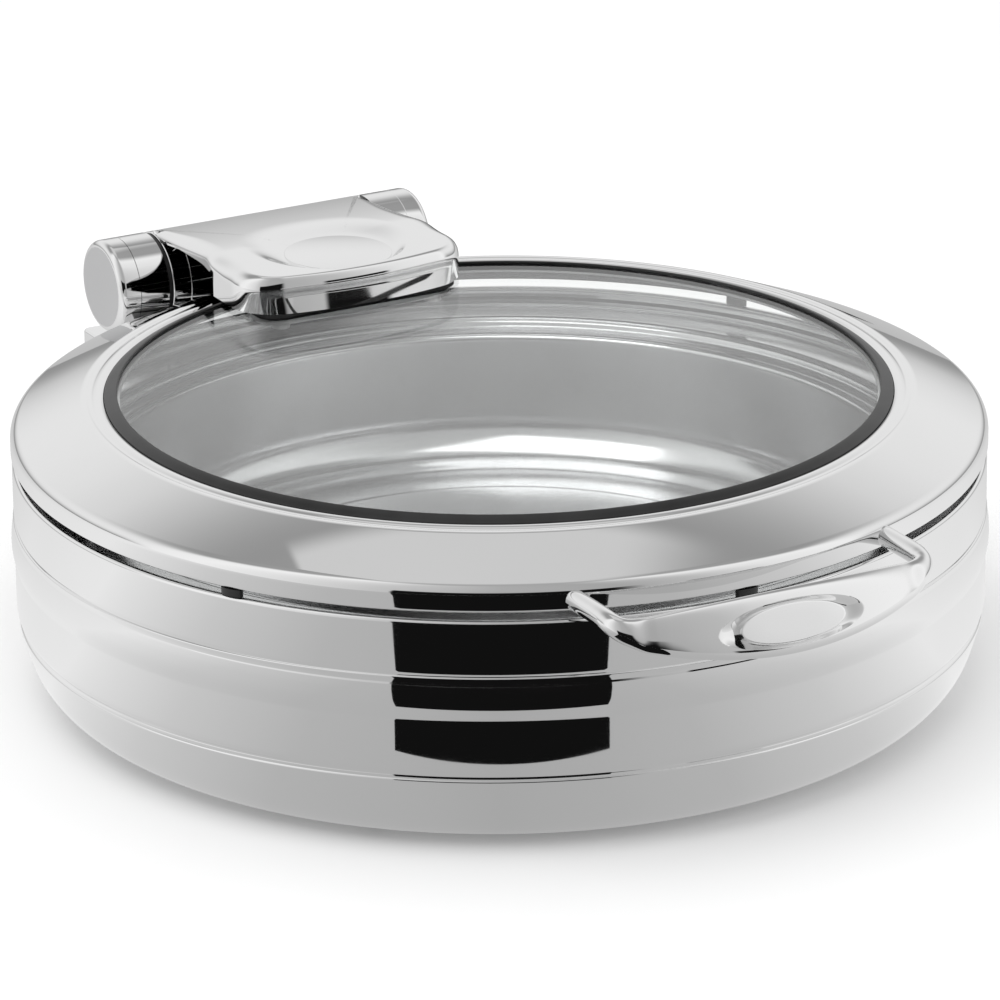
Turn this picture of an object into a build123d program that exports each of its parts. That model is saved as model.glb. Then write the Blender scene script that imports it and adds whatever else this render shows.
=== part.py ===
from build123d import *
import os
from math import cos, radians, sin, sqrt

# A round induction chafer: a ribbed water bowl, a food pan that hangs in it, and a glass lid on a
# damped barrel hinge. Millimetres. The origin is the centre of the flat underside, +Z is up, the
# lid handle is at the front (-Y) and the hinge is at the back (+Y).

# ---- Driving dimensions ----

gauge = 1.2  # sheet thickness of the bowl and the lid ring
weld_gap = 0.1  # clearance between two rings that are welded or pressed together
fit_gap = 0.05  # radial clearance of shafts, screws and bushes in their holes

# Bowl
bowl_r = 242.1  # outside radius of the plain bands
base_r = 204.0  # edge of the flat underside
corner_r = 34.5  # round between underside and flank
flank_lean = 17.0  # lean of the flank from vertical, degrees
lower_crease_z = 40.3
rib_low_z, rib_peak_z, rib_top_z = 70.5, 79.0, 88.5
rib_r = 243.6
upper_crease_z = 92.0
rim_roll_r = 2.0
rim_z = 120.0  # top of the rolled rim

# Induction base
disc_r = 152.0
disc_recess = 3.2  # depth of the recess that the sandwich disc fills
cap_t = 0.8

# Ledge ring that carries the food pan
ledge_z = 110.0
ledge_inner_r = 224.0
ledge_skirt_z = 98.0

# Food pan
pan_gauge = 0.8
pan_floor_z = 38.0
pan_floor_r = 176.0
pan_corner_r = 25.0
pan_wall_z = 103.0
pan_flange_z = ledge_z + 0.3
pan_rim_r = 235.5

# Lid
lid_r = 242.5
lid_roll_r = 2.0
lid_low_z = 124.0  # underside of the rolled lower edge
shoulder_r = 7.0
slope = 22.0  # fall of the sloping band, degrees
slope_top_r = 207.0
lip_r, lip_z = 199.0, 151.6  # crown of the raised lip round the window
seat_r = 195.6  # inside of the lip, where the gasket sits
glass_r, glass_t, glass_low_z = 192.0, 4.0, 148.2
gasket_inner_r = 188.8
bumper_count = 6

# Hinge
hinge_y, hinge_z = 266.0, 141.3
barrel_r = 24.5
knuckle_half = 61.4  # half length of the lid's knuckle
post_in, post_out = 63.9, 80.0  # the bracket's barrels, from the middle plane
cap_end = 92.0
axle_r = 6.0
bush_r = 12.0
bore_r = 18.0
bush_from = 40.0
pocket_r = 20.0
pocket_from = 71.0

# Hinge arm: a roof from the knuckle to a tongue that stands on the glass
foot_z = 154.2
roof_low_z = 165.0
roof_z, roof_ridge_y = 174.6, 200.0
roof_front_z = 172.6
roof_back_z = 167.4
tongue_half = 64.5
tongue_front_y = 138.5
tongue_corner_y = 148.0
tongue_back_y = 188.0
dish_y, dish_r, dish_z = 187.5, 43.8, 171.0
medallion_y, medallion_r, medallion_t = 172.5, 28.2, 0.8
clamp_screws = [(x, y) for x in (-44, 44) for y in (152, 168)]

# Hinge bracket
beam_half = 92.0
beam_y0, beam_y1 = 247.0, 292.0
beam_z0, beam_z1 = 80.0, 111.0
bracket_screws_at = [(x, 95.5) for x in (-68, -50, 50, 68)]
cover_screws_x = 60.0

# Lid handle: two arms and a leaning crescent plate that follows the lid's curve
grip_x = 84.0
grip_z = 129.5
grip_r = 5.0
plate_r = 280.0  # radius of the plate's outer face at the arms' height
plate_lean = 65.0  # slope of the plate, degrees below horizontal
plate_t = 6.0
plate_low_z, plate_top_z = 107.3, 135.0
plate_end_x, plate_end_low_z, plate_end_top_z = 90.0, 122.0, 129.5
badge_v = 9.5  # distance of the badge's centre down the plate's slope
badge_a, badge_b = 28.5, 9.3
recess_a, recess_b, recess_depth = 40.0, 11.8, 3.0
handle_screw_z, handle_screw_r = 130.3, 2.0
spacer_y = 220.0  # flat face of the handle spacers, inside the skirt


def hinge_plane(x):
    """The plane across the hinge axis at this X, facing +X."""
    return Plane(origin=(x, hinge_y, hinge_z), x_dir=(0, 1, 0), z_dir=(1, 0, 0))


def bowl_outline():
    """The bowl's outer line, from the centre of the underside to the inner edge of the rim."""
    floor = Line((0, disc_recess), (disc_r + 2, disc_recess))
    step = Line(floor @ 1, (disc_r + 2 + disc_recess, 0))
    foot = Line(step @ 1, (base_r, 0))
    corner = JernArc(foot @ 1, foot % 1, corner_r, 90 - flank_lean)
    flank_end_z = lower_crease_z - 1.8
    flank_length = (flank_end_z - (corner @ 1).Y) / cos(radians(flank_lean))
    flank = PolarLine(corner @ 1, flank_length, direction=corner % 1)
    crease = Line(flank @ 1, (bowl_r - 1.3, lower_crease_z))
    tuck = ThreePointArc(crease @ 1, (bowl_r - 0.4, lower_crease_z + 2.5), (bowl_r, lower_crease_z + 5.7))
    band = Line(tuck @ 1, (bowl_r, rib_low_z))
    rib = ThreePointArc(band @ 1, (rib_r, rib_peak_z), (bowl_r + 0.4, rib_top_z))
    shelf = Line(rib @ 1, (bowl_r + 0.4, upper_crease_z - 1))
    groove_in = Line(shelf @ 1, (bowl_r - 0.4, upper_crease_z))
    groove_out = Line(groove_in @ 1, (bowl_r, upper_crease_z + 1))
    top_band = Line(groove_out @ 1, (bowl_r, rim_z - rim_roll_r))
    roll = JernArc(top_band @ 1, (0, 1), rim_roll_r, 180)
    Line(roll @ 1, (roll @ 1) - (0, 3))


# ---- Bowl and its fittings ----

with BuildPart() as body_shell:
    with BuildSketch(Plane.XZ):
        with BuildLine():
            bowl_outline()
            offset(amount=gauge, side=Side.LEFT, closed=True)
        make_face()
    revolve(axis=Axis.Z)
body_shell.part.label = "body_shell"

with BuildPart() as induction_core:
    with BuildSketch(Plane.XY.offset(cap_t)):
        Circle(disc_r)
    extrude(amount=disc_recess - cap_t)
induction_core.part.label = "induction_core"

with BuildPart() as induction_cap:
    with BuildSketch(Plane.XY):
        Circle(disc_r)
    extrude(amount=cap_t)
    fillet(induction_cap.edges().group_by(Axis.Z)[0], radius=0.4)
induction_cap.part.label = "induction_cap"

with BuildPart() as pan_ledge:
    with BuildSketch(Plane.XZ):
        with BuildLine():
            inner_r = bowl_r - gauge - weld_gap
            skirt = Line((inner_r, ledge_skirt_z), (inner_r, ledge_z - 1.5))
            bend = JernArc(skirt @ 1, (0, 1), 1.5, 90)
            shelf = Line(bend @ 1, (ledge_inner_r + 2, ledge_z))
            turn = JernArc(shelf @ 1, (-1, 0), 2, 90)
            Line(turn @ 1, (ledge_inner_r, ledge_z - 5))
            offset(amount=gauge, side=Side.LEFT, closed=True)
        make_face()
    revolve(axis=Axis.Z)
pan_ledge.part.label = "pan_ledge"

with BuildPart() as food_pan:
    with BuildSketch(Plane.XZ):
        with BuildLine():
            well = Line((0, pan_floor_z + 1), (150, pan_floor_z + 1))
            step = Line(well @ 1, (153, pan_floor_z))
            floor = Line(step @ 1, (pan_floor_r, pan_floor_z))
            corner = JernArc(floor @ 1, (1, 0), pan_corner_r, 88)
            wall = Line(corner @ 1, (corner @ 1) + (1.4, pan_wall_z - (corner @ 1).Y))
            lip = JernArc(wall @ 1, wall % 1, 2.5, -86)
            gutter = PolarLine(lip @ 1, 8, direction=(1, 0))
            riser = Line(gutter @ 1, (gutter @ 1) + (3, pan_flange_z - (gutter @ 1).Y))
            flange = Line(riser @ 1, (pan_rim_r - 2.5, pan_flange_z))
            turn = JernArc(flange @ 1, (1, 0), 2.5, 90)
            Line(turn @ 1, (turn @ 1) + (0, 1.2))
            offset(amount=pan_gauge, side=Side.LEFT, closed=True)
        make_face()
    revolve(axis=Axis.Z)
food_pan.part.label = "food_pan"

# ---- Lid: ring, window and seals ----

with BuildPart() as lid_ring:
    with BuildSketch(Plane.XZ):
        with BuildLine():
            roll_z = lid_low_z + lid_roll_r
            hem = Line((lid_r - 2 * lid_roll_r, roll_z + 0.5), (lid_r - 2 * lid_roll_r, roll_z))
            roll = JernArc(hem @ 1, (0, -1), lid_roll_r, 180)
            skirt = Line(roll @ 1, (lid_r, 131.8))
            shoulder = JernArc(skirt @ 1, (0, 1), shoulder_r, 90 - slope)
            run = ((shoulder @ 1).X - slope_top_r) / cos(radians(slope))
            band = PolarLine(shoulder @ 1, run, direction=shoulder % 1)
            hollow = Line(band @ 1, (slope_top_r - 4, lip_z - 1.1))
            lip = ThreePointArc(hollow @ 1, (lip_r, lip_z), (seat_r, lip_z - 1.2))
            Line(lip @ 1, (seat_r, 146.5))
            offset(amount=gauge, side=Side.LEFT, closed=True)
        make_face()
    revolve(axis=Axis.Z)
    # Holes for the handle's screws
    with BuildSketch(Plane.XZ.offset(210)):
        with Locations((-grip_x, handle_screw_z), (grip_x, handle_screw_z)):
            Circle(handle_screw_r + 0.2)
    extrude(amount=lid_r - 205, mode=Mode.SUBTRACT)
lid_ring.part.label = "lid_ring"

with BuildPart() as lid_glass:
    with BuildSketch(Plane.XY.offset(glass_low_z)):
        Circle(glass_r)
    extrude(amount=glass_t)
    chamfer(lid_glass.edges(), length=0.6)
    with Locations(*[(x, y, glass_low_z + glass_t) for x, y in clamp_screws]):
        Hole(radius=4.5)
lid_glass.part.label = "lid_glass"

with BuildPart() as glass_gasket:
    with BuildSketch(Plane.XZ):
        with BuildLine():
            outer_r = seat_r - weld_gap
            Polyline(
                (gasket_inner_r, 146.7),
                (outer_r, 146.7),
                (outer_r, 151.2),
                (gasket_inner_r + 1, 153.6),
                (gasket_inner_r, 153.2),
                close=True,
            )
        make_face()
        with BuildLine():
            groove_r = glass_r + weld_gap
            Polyline(
                (gasket_inner_r - 1, glass_low_z - fit_gap),
                (groove_r, glass_low_z - fit_gap),
                (groove_r, glass_low_z + glass_t + fit_gap),
                (gasket_inner_r - 1, glass_low_z + glass_t + fit_gap),
                close=True,
            )
        make_face(mode=Mode.SUBTRACT)
    revolve(axis=Axis.Z)
glass_gasket.part.label = "glass_gasket"

with BuildPart() as glass_retainer:
    with BuildSketch(Plane.XY.offset(145.2)):
        Circle(seat_r + 8)
        Circle(gasket_inner_r - 1, mode=Mode.SUBTRACT)
    extrude(amount=1.2)
glass_retainer.part.label = "glass_retainer"

with BuildPart() as lid_bumpers:
    bumper_z = rim_z + 0.3
    with BuildSketch(Plane.XY.offset(bumper_z)):
        with PolarLocations(lid_r - lid_roll_r, bumper_count, start_angle=30):
            Ellipse(lid_roll_r, 6)
    extrude(amount=lid_low_z - bumper_z - weld_gap)
lid_bumpers.part.label = "lid_bumpers"

# ---- Hinge arm and what clamps it to the glass ----

with BuildPart() as hinge_arm:
    with BuildSketch(Plane.XY.offset(foot_z)) as arm_plan:
        with BuildLine():
            right_side = Polyline(
                (knuckle_half, hinge_y),
                (knuckle_half, tongue_back_y + 3),
                (tongue_half, tongue_back_y - 3),
                (tongue_half, tongue_corner_y),
            )
            front = ThreePointArc(right_side @ 1, (0, tongue_front_y), (-tongue_half, tongue_corner_y))
            Polyline(
                front @ 1,
                (-tongue_half, tongue_back_y - 3),
                (-knuckle_half, tongue_back_y + 3),
                (-knuckle_half, hinge_y),
                (knuckle_half, hinge_y),
            )
        make_face()
        fillet(arm_plan.vertices().filter_by(lambda v: abs(v.Y - tongue_corner_y) < 1), radius=18)
    extrude(amount=roof_z - foot_z)
    # The roof falls from its ridge towards the barrel and, less, towards the front
    with BuildSketch(Plane.YZ):
        with BuildLine():
            Polyline(
                (tongue_front_y - 1, roof_front_z),
                (roof_ridge_y, roof_z),
                (hinge_y + 1, roof_back_z),
                (hinge_y + 1, roof_z + 1),
                (tongue_front_y - 1, roof_z + 1),
                close=True,
            )
        make_face()
    extrude(amount=tongue_half + 1, both=True, mode=Mode.SUBTRACT)
    top_edges = hinge_arm.edges().filter_by(lambda e: e.center().Z > roof_back_z - 1)
    fillet(top_edges.filter_by(lambda e: e.center().Y < 255), radius=5)
    # Open sides between the roof and the lid ring, behind the tongue
    with BuildSketch(Plane.XY.offset(foot_z - 1)):
        with Locations((0, (tongue_back_y + hinge_y) / 2 + 1)):
            Rectangle(2 * tongue_half + 2, hinge_y - tongue_back_y + 2)
    extrude(amount=roof_low_z - foot_z + 1, mode=Mode.SUBTRACT)
    # Hollow tongue with four screw bosses
    with BuildSketch(Plane.XY.offset(foot_z)):
        with Locations((0, 163.5)):
            RectangleRounded(2 * tongue_half - 12, 35, 6)
        with Locations(*clamp_screws):
            Circle(6.5, mode=Mode.SUBTRACT)
    extrude(amount=9.5, mode=Mode.SUBTRACT)
    with BuildSketch(Plane.XY.offset(foot_z)):
        with Locations(*clamp_screws):
            Circle(2.5 + fit_gap)
    extrude(amount=10, mode=Mode.SUBTRACT)
    # Dished top, its floor set towards the front
    with BuildSketch(Plane.XY.offset(dish_z)):
        with Locations((0, medallion_y)):
            Circle(medallion_r + weld_gap)
    with BuildSketch(Plane.XY.offset(roof_z)):
        with Locations((0, dish_y)):
            Circle(dish_r)
    loft(mode=Mode.SUBTRACT)
    # Knuckle, with its bore for the spring and damper and its two bush seats
    with BuildSketch(hinge_plane(-knuckle_half)):
        Circle(barrel_r)
    extrude(amount=2 * knuckle_half)
    with BuildSketch(hinge_plane(-knuckle_half)):
        Circle(bush_r)
    extrude(amount=2 * knuckle_half, mode=Mode.SUBTRACT)
    with BuildSketch(hinge_plane(-bush_from)):
        Circle(bore_r)
    extrude(amount=2 * bush_from, mode=Mode.SUBTRACT)
    for groove_x in (-51.5, 50.5):
        with BuildSketch(hinge_plane(groove_x)):
            Circle(barrel_r + 0.2)
            Circle(barrel_r - 0.5, mode=Mode.SUBTRACT)
            with Locations((-barrel_r, -10)):
                Rectangle(barrel_r, 3 * barrel_r, mode=Mode.INTERSECT)
        extrude(amount=1, mode=Mode.SUBTRACT)
hinge_arm.part.label = "hinge_arm"

with BuildPart() as arm_medallion:
    with BuildSketch(Plane.XY.offset(dish_z)):
        with Locations((0, medallion_y)):
            Circle(medallion_r)
    extrude(amount=medallion_t)
    fillet(arm_medallion.edges().group_by(Axis.Z)[-1], radius=0.3)
arm_medallion.part.label = "arm_medallion"


def clamp_sheet(low_z, thickness, grow):
    """A plate or pad under the hinge arm's tongue, with clearance holes for the clamp screws."""
    with BuildPart() as sheet:
        with BuildSketch(Plane.XY.offset(low_z)):
            with Locations((0, 160)):
                RectangleRounded(110 + grow, 29 + grow, 12)
            with Locations(*clamp_screws):
                Circle(2.8, mode=Mode.SUBTRACT)
        extrude(amount=thickness)
    return sheet


glass_top_z = glass_low_z + glass_t
upper_pad = clamp_sheet(glass_top_z, foot_z - glass_top_z, 4)
upper_pad.part.label = "upper_pad"
lower_pad = clamp_sheet(glass_low_z - 1, 1, 0)
lower_pad.part.label = "lower_pad"
clamp_plate = clamp_sheet(glass_low_z - 3.5, 2.5, 0)
clamp_plate.part.label = "clamp_plate"

with BuildPart() as clamp_screw_set:
    head_z = glass_low_z - 3.5
    with BuildSketch(Plane.XY.offset(head_z - 3)):
        with Locations(*clamp_screws):
            Circle(4.6)
            RegularPolygon(1.8, 6, mode=Mode.SUBTRACT)
    extrude(amount=3)
    with BuildSketch(Plane.XY.offset(head_z - 1.2)):
        with Locations(*clamp_screws):
            Circle(2.5)
    extrude(amount=19)
clamp_screw_set.part.label = "clamp_screws"

# ---- Hinge: bracket, axle and what turns on it ----

with BuildPart() as bracket_pad:
    pad_front_y = 228
    with BuildSketch(Plane.XY.offset(beam_z0 + 2)):
        with Locations((0, (pad_front_y + beam_y0) / 2)):
            Rectangle(150, beam_y0 - pad_front_y)
        Circle(rib_r + weld_gap, mode=Mode.SUBTRACT)
    extrude(amount=beam_z1 - beam_z0 - 4)
    with BuildSketch(Plane.XZ.offset(-beam_y0)):
        with Locations(*bracket_screws_at):
            Circle(3 + fit_gap)
    extrude(amount=7.5, mode=Mode.SUBTRACT)
bracket_pad.part.label = "bracket_pad"

with BuildPart() as hinge_bracket:
    with BuildSketch(Plane.XY.offset(beam_z0)):
        with Locations((0, (beam_y0 + beam_y1) / 2)):
            Rectangle(2 * beam_half, beam_y1 - beam_y0)
    extrude(amount=beam_z1 - beam_z0)
    fillet(hinge_bracket.edges().filter_by(Axis.Z), radius=4)
    fillet(hinge_bracket.edges().group_by(Axis.Z)[-1], radius=1.5)
    # Cavity, open to the back, with a seat for the cover
    beam_mid_z = (beam_z0 + beam_z1) / 2
    with BuildSketch(Plane.XZ.offset(-beam_y1)):
        with Locations((0, beam_mid_z)):
            RectangleRounded(2 * beam_half - 20, 17, 3)
    extrude(amount=beam_y1 - beam_y0 - 6, mode=Mode.SUBTRACT)
    with BuildSketch(Plane.XZ.offset(-beam_y1)):
        with Locations((0, beam_mid_z)):
            RectangleRounded(2 * beam_half - 12, 23, 3)
    extrude(amount=3, mode=Mode.SUBTRACT)
    with BuildSketch(Plane.XZ.offset(-beam_y0)):
        with Locations(*bracket_screws_at):
            Circle(3.2)
    extrude(amount=-6, mode=Mode.SUBTRACT)
    # Barrels on their uprights, each bored for the axle and open outwards for the nut and cap
    for side in (-1, 1):
        with BuildSketch(hinge_plane(side * post_in)):
            Circle(barrel_r)
            with Locations((0, (beam_z1 - 0.5 - hinge_z) / 2)):
                Rectangle(28, hinge_z - beam_z1 + 1)
        extrude(amount=side * (post_out - post_in))
        with BuildSketch(hinge_plane(side * post_in)):
            Circle(axle_r + fit_gap)
        extrude(amount=side * (post_out - post_in), mode=Mode.SUBTRACT)
        with BuildSketch(hinge_plane(side * pocket_from)):
            Circle(pocket_r)
        extrude(amount=side * (post_out - pocket_from), mode=Mode.SUBTRACT)
    # Lugs for the cover's two screws
    with BuildSketch(Plane.XZ.offset(-(beam_y1 - 3))):
        with Locations((-cover_screws_x, beam_mid_z), (cover_screws_x, beam_mid_z)):
            Rectangle(8, 17.5)
            Circle(2 + fit_gap, mode=Mode.SUBTRACT)
    extrude(amount=12)
hinge_bracket.part.label = "hinge_bracket"

with BuildPart() as bracket_screws:
    with BuildSketch(Plane.XZ.offset(-(beam_y0 + 6))):
        with Locations(*bracket_screws_at):
            Circle(5)
            RegularPolygon(2.8, 6, mode=Mode.SUBTRACT)
    extrude(amount=-5.5)
    with BuildSketch(Plane.XZ.offset(-(beam_y0 + 8))):
        with Locations(*bracket_screws_at):
            Circle(3)
    extrude(amount=15)
bracket_screws.part.label = "bracket_screws"

with BuildPart() as bracket_cover:
    with BuildSketch(Plane.XZ.offset(-(beam_y1 - 3))):
        with Locations((0, beam_mid_z)):
            RectangleRounded(2 * beam_half - 12.6, 22.4, 2.7)
        with Locations((-cover_screws_x, beam_mid_z), (cover_screws_x, beam_mid_z)):
            Circle(2.3, mode=Mode.SUBTRACT)
    extrude(amount=-1.5)
bracket_cover.part.label = "bracket_cover"

with BuildPart() as cover_screws:
    with BuildSketch(Plane.XZ.offset(-(beam_y1 - 1.5))):
        with Locations((-cover_screws_x, beam_mid_z), (cover_screws_x, beam_mid_z)):
            Circle(4)
            RegularPolygon(1.5, 6, mode=Mode.SUBTRACT)
    extrude(amount=-1.5)
    with BuildSketch(Plane.XZ.offset(-(beam_y1 - 1))):
        with Locations((-cover_screws_x, beam_mid_z), (cover_screws_x, beam_mid_z)):
            Circle(2)
    extrude(amount=11)
cover_screws.part.label = "cover_screws"

with BuildPart() as hinge_axle:
    axle_half = post_out - 1
    with BuildSketch(hinge_plane(-axle_half)):
        Circle(axle_r)
    extrude(amount=2 * axle_half)
    chamfer(hinge_axle.edges(), length=0.8)
hinge_axle.part.label = "hinge_axle"

with BuildPart() as axle_nuts:
    for side in (-1, 1):
        with BuildSketch(hinge_plane(side * (pocket_from + 0.2))):
            RegularPolygon(11, 6)
            Circle(axle_r + fit_gap, mode=Mode.SUBTRACT)
        extrude(amount=side * 6)
axle_nuts.part.label = "axle_nuts"


def end_cap(side):
    """The polished cap that closes one barrel; side is -1 for left and 1 for right."""
    with BuildPart() as cap:
        with BuildSketch(hinge_plane(side * (post_out + 0.1))):
            Circle(barrel_r)
        extrude(amount=side * (cap_end - post_out - 0.1))
        outer_edges = cap.edges().group_by(Axis.X)[-1 if side > 0 else 0]
        fillet(outer_edges, radius=3)
        with BuildSketch(hinge_plane(side * (post_out + 0.1))):
            Circle(pocket_r - 2 * fit_gap)
            Circle(pocket_r - 4, mode=Mode.SUBTRACT)
        extrude(amount=-side * 6)
    return cap


left_end_cap = end_cap(-1)
left_end_cap.part.label = "left_end_cap"
right_end_cap = end_cap(1)
right_end_cap.part.label = "right_end_cap"


def thrust_washer(side):
    """The black slip ring between the knuckle and one barrel."""
    with BuildPart() as washer:
        with BuildSketch(hinge_plane(side * (knuckle_half + 0.3))):
            Circle(barrel_r - 0.8)
            Circle(axle_r + fit_gap, mode=Mode.SUBTRACT)
        extrude(amount=side * (post_in - knuckle_half - 0.4))
    return washer


left_thrust_washer = thrust_washer(-1)
left_thrust_washer.part.label = "left_thrust_washer"
right_thrust_washer = thrust_washer(1)
right_thrust_washer.part.label = "right_thrust_washer"


def knuckle_bush(side):
    """The flanged bronze bush pressed into one end of the knuckle."""
    with BuildPart() as bush:
        with BuildSketch(hinge_plane(side * bush_from)):
            Circle(bush_r - fit_gap)
            Circle(axle_r + fit_gap, mode=Mode.SUBTRACT)
        extrude(amount=side * (knuckle_half - bush_from))
        with BuildSketch(hinge_plane(side * (bush_from - 1.6))):
            Circle(bore_r - 2)
            Circle(axle_r + fit_gap, mode=Mode.SUBTRACT)
        extrude(amount=side * 1.5)
        with BuildSketch(hinge_plane(side * (bush_from - 0.2))):
            Circle(bush_r - fit_gap)
            Circle(axle_r + fit_gap, mode=Mode.SUBTRACT)
        extrude(amount=side * 0.4)
    return bush


left_bush = knuckle_bush(-1)
left_bush.part.label = "left_bush"
right_bush = knuckle_bush(1)
right_bush.part.label = "right_bush"

with BuildPart() as torsion_spring:
    coil_r, wire_r, coil_pitch, coil_length = 13.0, 1.2, 3.2, 32.0
    with BuildLine():
        coil = Helix(
            coil_pitch, coil_length, coil_r, center=(-36, hinge_y, hinge_z), direction=(1, 0, 0)
        )
    with BuildSketch(Plane(coil @ 0, z_dir=coil % 0)):
        Circle(wire_r)
    sweep(is_frenet=True)
torsion_spring.part.label = "torsion_spring"

with BuildPart() as damper_cartridge:
    with BuildSketch(hinge_plane(2)):
        Circle(bore_r - fit_gap)
        Circle(axle_r + 2, mode=Mode.SUBTRACT)
    extrude(amount=34)
    with BuildSketch(hinge_plane(5)):
        Circle(bore_r - 3)
    extrude(amount=28, mode=Mode.SUBTRACT)
damper_cartridge.part.label = "damper_cartridge"

with BuildPart() as damper_rotor:
    with BuildSketch(hinge_plane(5.5)):
        Circle(bore_r - 3.4)
        Circle(axle_r + fit_gap, mode=Mode.SUBTRACT)
    extrude(amount=27)
damper_rotor.part.label = "damper_rotor"

# ---- Lid handle ----

lean = radians(plate_lean)
badge_plane = Plane(
    origin=(0, -(plate_r + badge_v * cos(lean)), grip_z - badge_v * sin(lean)),
    x_dir=(1, 0, 0),
    z_dir=(0, -sin(lean), cos(lean)),
)


def plate_face_r(z):
    """Radius of the plate's outer face at height z."""
    return plate_r + (grip_z - z) * cos(lean) / sin(lean)


with BuildPart() as lid_handle:
    # Leaning band round the lid, cut to the crescent's outline
    with BuildSketch(Plane.XZ):
        with BuildLine():
            band_low, band_top = plate_low_z - 5, plate_top_z + 5
            inset = plate_t / sin(lean)
            Polyline(
                (plate_face_r(band_low), band_low),
                (plate_face_r(band_top), band_top),
                (plate_face_r(band_top) - inset, band_top),
                (plate_face_r(band_low) - inset, band_low),
                close=True,
            )
        make_face()
    revolve(axis=Axis.Z)
    with BuildSketch(Plane.XZ) as crescent:
        with BuildLine():
            lower = ThreePointArc(
                (plate_end_x, plate_end_low_z), (0, plate_low_z), (-plate_end_x, plate_end_low_z)
            )
            left = Line(lower @ 1, (-plate_end_x, plate_end_top_z))
            upper = ThreePointArc(left @ 1, (0, plate_top_z), (plate_end_x, plate_end_top_z))
            Line(upper @ 1, lower @ 0)
        make_face()
        fillet(crescent.vertices(), radius=3)
    extrude(amount=plate_r + 40, mode=Mode.INTERSECT)
    fillet(lid_handle.edges(), radius=2)
    # Badge recess
    with BuildSketch(badge_plane):
        Ellipse(recess_a, recess_b)
    extrude(amount=-recess_depth, mode=Mode.SUBTRACT)
    # Arms, from the skirt to the plate, tapped for the screws
    for side in (-1, 1):
        root_y = sqrt(lid_r**2 - (grip_x - grip_r) ** 2) - 4
        with BuildSketch(Plane((side * grip_x, -root_y, grip_z), x_dir=(1, 0, 0), z_dir=(0, -1, 0))):
            Circle(grip_r)
        extrude(amount=sqrt((plate_r - plate_t / 2) ** 2 - grip_x**2) - root_y)
    with BuildSketch(Plane.XY.offset(grip_z - 8)):
        Circle(lid_r + fit_gap)
    extrude(amount=16, mode=Mode.SUBTRACT)
    with BuildSketch(Plane.XZ.offset(spacer_y)):
        with Locations((-grip_x, handle_screw_z), (grip_x, handle_screw_z)):
            Circle(handle_screw_r + fit_gap)
    extrude(amount=21, mode=Mode.SUBTRACT)
lid_handle.part.label = "lid_handle"

with BuildPart() as handle_badge:
    with BuildSketch(badge_plane.offset(-recess_depth)):
        Ellipse(badge_a, badge_b)
    extrude(amount=2)
handle_badge.part.label = "handle_badge"

with BuildPart() as handle_spacers:
    with BuildSketch(Plane.XZ.offset(spacer_y)):
        with Locations((-grip_x, handle_screw_z), (grip_x, handle_screw_z)):
            Circle(handle_screw_r + 1.4)
            Circle(handle_screw_r + 0.2, mode=Mode.SUBTRACT)
    extrude(amount=12)
    with BuildSketch(Plane.XY.offset(handle_screw_z - 6)):
        Circle(240.7)
    extrude(amount=12, mode=Mode.INTERSECT)
handle_spacers.part.label = "handle_spacers"

with BuildPart() as handle_screws:
    with BuildSketch(Plane.XZ.offset(spacer_y)):
        with Locations((-grip_x, handle_screw_z), (grip_x, handle_screw_z)):
            Circle(3.2)
            RegularPolygon(1.4, 6, mode=Mode.SUBTRACT)
    extrude(amount=-2)
    with BuildSketch(Plane.XZ.offset(spacer_y - 0.6)):
        with Locations((-grip_x, handle_screw_z), (grip_x, handle_screw_z)):
            Circle(handle_screw_r)
    extrude(amount=20)
handle_screws.part.label = "handle_screws"

pieces = [
    body_shell, induction_core, induction_cap, pan_ledge, food_pan, lid_ring, lid_glass, glass_gasket,
    glass_retainer, lid_bumpers, hinge_arm, arm_medallion, upper_pad, lower_pad, clamp_plate,
    clamp_screw_set, bracket_pad, hinge_bracket, bracket_screws, bracket_cover, cover_screws,
    hinge_axle, axle_nuts, left_end_cap, right_end_cap, left_thrust_washer, right_thrust_washer,
    left_bush, right_bush, torsion_spring, damper_cartridge, damper_rotor, lid_handle, handle_badge,
    handle_spacers, handle_screws,
]

os.makedirs("parts", exist_ok=True)
for piece in pieces:
    export_step(piece.part, f"parts/{piece.part.label}.step")
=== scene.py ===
from math import asin, atan2, cos, degrees, hypot, pi, radians, sin, sqrt, tan

import bmesh
import bpy
from mathutils import Matrix, Vector


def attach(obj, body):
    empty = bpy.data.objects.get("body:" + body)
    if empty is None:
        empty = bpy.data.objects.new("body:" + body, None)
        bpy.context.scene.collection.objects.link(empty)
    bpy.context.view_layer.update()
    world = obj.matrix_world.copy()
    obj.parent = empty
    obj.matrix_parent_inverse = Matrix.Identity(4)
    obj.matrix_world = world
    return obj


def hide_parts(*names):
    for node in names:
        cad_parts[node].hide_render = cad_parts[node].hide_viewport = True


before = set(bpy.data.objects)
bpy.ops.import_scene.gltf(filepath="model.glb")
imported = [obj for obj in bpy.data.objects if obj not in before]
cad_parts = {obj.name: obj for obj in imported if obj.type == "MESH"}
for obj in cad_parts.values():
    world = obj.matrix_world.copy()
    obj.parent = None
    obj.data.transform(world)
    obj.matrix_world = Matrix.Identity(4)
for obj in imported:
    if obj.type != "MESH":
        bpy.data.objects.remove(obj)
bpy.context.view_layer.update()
scene = bpy.context.scene
MM = 0.001

# ---- Camera, at the photograph's viewing angle ----

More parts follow.
